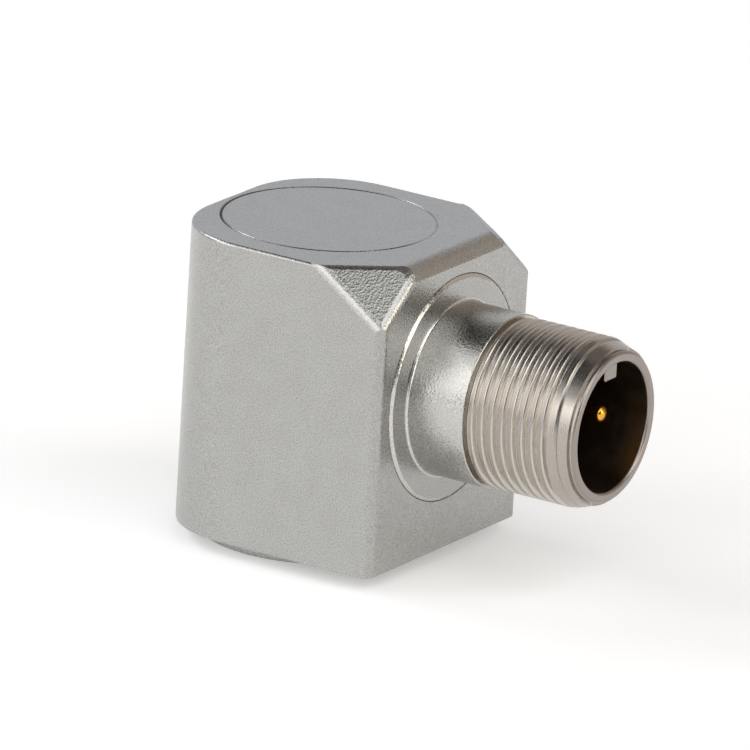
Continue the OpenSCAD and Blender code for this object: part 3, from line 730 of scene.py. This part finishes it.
# hard gold over nickel: warm and bright, satin from the turned pin below
pinGold = {
    "colour": "#f0b850", "second": "#e2a43c", "rough": 0.2, "grainMm": 0.12, "depthMm": 0.002,
    "stretch": (1, 0.2, 0.2)}
goldPlate = makeGrained("contact_gold_plated", pinGold)
noseStart, cupEnd = pin["tip"] - pin["nose"], pin["rear"] + pin["cupDepth"]
pinProfile = [(cupEnd, 0), (cupEnd, pin["cup"]), (pin["rear"], pin["cup"]),
              (pin["rear"], pin["radius"] - pin["rearEdge"]), (pin["rear"] + pin["rearEdge"], pin["radius"])]
for k in range(pin["noseSteps"]):
    t = math.pi / 2 * k / pin["noseSteps"]
    pinProfile.append((noseStart + pin["nose"] * math.sin(t), pin["radius"] * math.cos(t)))
pinProfile.append((pin["tip"], 0))
for side, name, node in ((1, "pin_signal", "signal_pin"), (-1, "pin_common", "common_pin")):
    pinAt = (housing["front"], side * pin["pitch"] / 2, c["height"])
    pinBody = addObject(name, turnedMesh(name, pinProfile, pin["segments"], "x", pinAt), goldPlate)
    shadeMachined(pinBody, 40)
    placePiece(pinBody, "contact_gold", node)

# finishes of the pieces inside, which keep their solids
inside = {
    "isolation_disc": ("alumina_lapped", {  # warm white, even and matt
        "colour": "#ece8de", "second": "#e2dccf", "ior": 1.76, "rough": 0.4,
        "grainMm": 0.15, "depthMm": 0.002}),
    "element_base": ("nickel_alloy_turned", {  # pale warm metal with turning lines
        "colour": "#bdb5a6", "second": "#b0a898", "rough": 0.26,
        "grainMm": 0.1, "depthMm": 0.002, "stretch": (0.1, 0.1, 1)}),
    "piezo_ring": ("piezo_ceramic_fired", {  # dull olive grey, like unglazed china
        "colour": "#948b76", "second": "#857c68", "ior": 2.2, "rough": 0.55,
        "grainMm": 0.12, "depthMm": 0.004}),
    "seismic_mass": ("tungsten_alloy_ground", {  # dark grey with a ground sheen
        "colour": "#6d6d70", "second": "#5f5f62", "rough": 0.38,
        "grainMm": 0.14, "depthMm": 0.003}),
    "shield_can": ("nickel_silver_drawn", {  # pale yellowish silver, drawn streaks
        "colour": "#c3bcaa", "second": "#b8b09c", "rough": 0.28,
        "grainMm": 0.3, "depthMm": 0.003, "stretch": (1, 1, 0.15)}),
    "board_standoff": ("polyetherketone_turned", {  # tan and satin, with turning lines
        "colour": "#b39a70", "second": "#a78e64", "ior": 1.65, "rough": 0.5,
        "grainMm": 0.2, "depthMm": 0.003, "stretch": (0.3, 0.3, 1)}),
    "circuit_board": ("glass_epoxy_solder_masked", {  # dark green lacquer, a little uneven
        "colour": "#1b5530", "second": "#184b2a", "ior": 1.55, "rough": 0.3,
        "grainMm": 0.35, "depthMm": 0.006}),
    "amplifier_chip": ("epoxy_moulded_black", {  # matt black, finely pitted
        "colour": "#1a1a1c", "second": "#222224", "ior": 1.55, "rough": 0.55,
        "grainMm": 0.1, "depthMm": 0.004}),
    "chip_capacitors": ("tantalum_moulded_yellow", {  # mustard yellow, low gloss
        "colour": "#c79a35", "second": "#b98c2b", "ior": 1.55, "rough": 0.45,
        "grainMm": 0.12, "depthMm": 0.004}),
    "chip_resistors": ("resistor_glazed_black", {  # glossy black
        "colour": "#151517", "second": "#1e1e20", "ior": 1.5, "rough": 0.2,
        "grainMm": 0.2, "depthMm": 0.003}),
    "element_lead": ("copper_tinned", {  # soft silver with a dull bloom
        "colour": "#c4c3be", "second": "#b5b3ad", "rough": 0.3,
        "grainMm": 0.2, "depthMm": 0.003, "stretch": (1, 1, 0.2)}),
    "signal_lead": ("fluoropolymer_extruded_red", {  # waxy red
        "colour": "#99241f", "second": "#8b1f1b", "ior": 1.36, "rough": 0.35,
        "grainMm": 0.4, "depthMm": 0.003}),
    "common_lead": ("fluoropolymer_extruded_white", {  # waxy white
        "colour": "#e3e2dc", "second": "#d8d6cf", "ior": 1.36, "rough": 0.35,
        "grainMm": 0.4, "depthMm": 0.003}),
    "lead_sleeves": ("polyolefin_shrunk_black", {  # soft black, slightly rippled
        "colour": "#18181a", "second": "#202022", "ior": 1.5, "rough": 0.48,
        "grainMm": 0.25, "depthMm": 0.005})}
for node, (name, finish) in inside.items():
    material = makeGrained(name, finish)
    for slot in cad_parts[node].material_slots:
        slot.material = material
print("finishes:", len(inside), "pieces inside")

# long lens from the right of the front and a little above, turned about the point it looks at
camera = {
    "target": (5.896, 0, 16.028), "azimuth": -58.348, "elevation": 17.722, "roll": 3.444, "distance": 1138.5,
    "lens": 600, "sensor": 36, "clipEnd": 20}
lensData = bpy.data.cameras.new("camera")
lensData.lens = camera["lens"]
lensData.sensor_width = camera["sensor"]
lensData.clip_end = camera["clipEnd"]
viewer = bpy.data.objects.new("camera", lensData)
bpy.context.scene.collection.objects.link(viewer)
facing = Matrix.Rotation(math.radians(camera["azimuth"] + 90), 4, "Z")
facing = facing @ Matrix.Rotation(math.radians(90 - camera["elevation"]), 4, "X")
facing = facing @ Matrix.Rotation(math.radians(camera["roll"]), 4, "Z")
place = Vector(camera["target"]) + facing.to_3x3().col[2] * camera["distance"]
viewer.matrix_world = Matrix.Translation(place * mm) @ facing
bpy.context.scene.camera = viewer

# matt white sweep: white to the camera and in reflections, and it still takes the object's shadow
sweep = {"colour": "#f2f2f2", "glow": 0.3, "half": 1.5, "rough": 0.9}
floorMesh = bpy.data.meshes.new("floor")
half = sweep["half"]
floorCorners = [(-half, -half, 0), (half, -half, 0), (half, half, 0), (-half, half, 0)]
floorMesh.from_pydata(floorCorners, [], [(0, 1, 2, 3)])
floorMaterial, tree = startMaterial("paper_sweep_matt")
path = addNode(tree, "ShaderNodeLightPath").outputs
seen = path["Is Camera Ray"]
for ray in ("Is Glossy Ray", "Is Transmission Ray"):
    seen = addNode(tree, "ShaderNodeMath", {"operation": "MAXIMUM"}, i0=seen, i1=path[ray]).outputs[0]
glow = addNode(tree, "ShaderNodeMath", {"operation": "MULTIPLY"}, i0=seen, i1=sweep["glow"]).outputs[0]
paper = addNode(tree, "ShaderNodeBsdfPrincipled", None, Base_Color=hexToLinear(sweep["colour"]),
                Roughness=sweep["rough"], Emission_Color=(1, 1, 1, 1), Emission_Strength=glow)
closeMaterial(tree, paper)
floor = addObject("floor", floorMesh, floorMaterial)

studio = {"centre": (0.01, 0, 0.016), "radius": 1.2, "ambient": 0.02}


def addSoftbox(name, azimuthFrom, azimuthTo, elevationFrom, elevationTo, brightness, colour):
    azimuth = math.radians((azimuthFrom + azimuthTo) / 2)
    elevation = math.radians((elevationFrom + elevationTo) / 2)
    level = math.cos(elevation)
    towards = Vector((level * math.cos(azimuth), level * math.sin(azimuth), math.sin(elevation)))
    wide = 2 * studio["radius"] * math.tan(math.radians(azimuthTo - azimuthFrom) / 2) * math.cos(elevation)
    high = 2 * studio["radius"] * math.tan(math.radians(elevationTo - elevationFrom) / 2)
    data = bpy.data.lights.new(name, "AREA")
    data.shape = "RECTANGLE"
    data.size, data.size_y = wide, high
    data.energy = math.pi * wide * high * brightness  # a flat lamp of this power is as bright as asked
    data.color = hexToLinear(colour)[:3]
    lamp = bpy.data.objects.new(name, data)
    bpy.context.scene.collection.objects.link(lamp)
    lamp.location = Vector(studio["centre"]) + towards * studio["radius"]
    lamp.rotation_euler = (-towards).to_track_quat("-Z", "Y").to_euler()


# each softbox spans a range of azimuth and of elevation, in degrees, and has an even brightness against white
softboxes = {
    "backWarm": (40, 95, 0, 32, 0.54, "#fff0e2"),
    "backNear": (95, 150, 0, 32, 0.76, "#f4f8ff"),
    "backFar": (150, 200, 0, 32, 0.77, "#f4f8ff"),
    "backHigh": (110, 180, 32, 46, 0.6, "#ffffff"),
    "backSide": (40, 110, 32, 46, 0.5, "#fff0e2"),
    "above": (40, 130, 50, 78, 0.2, "#ffeee8"),
    "leftHigh": (170, 200, 32, 46, 6.0, "#ffffff"),
    "leftStrip": (210, 230, 0, 62, 1.4, "#ffffff"),
    "leftKey": (210, 310, 10, 46, 1.5, "#ffffff"),
    "leftLow": (240, 280, 0, 10, 1.72, "#ffffff"),
    "frontTop": (300, 380, 32, 65, 2.0, "#ffffff"),
    "rightStrip": (0, 25, 0, 26, 3.7, "#fff7ea"),
    "leftMid": (262, 284, 16, 34, 1.1, "#fffaf0")}
for name, softbox in softboxes.items():
    addSoftbox(name, *softbox)

world = bpy.data.worlds.new("studio")
bpy.context.scene.world = world
world.use_nodes = True
tree = world.node_tree
tree.nodes.clear()
background = addNode(tree, "ShaderNodeBackground", None, Color=(1, 1, 1, 1), Strength=studio["ambient"])
addNode(tree, "ShaderNodeOutputWorld", None, Surface=background.outputs[0])
bpy.context.scene.view_settings.view_transform = "Standard"
print("stage set")
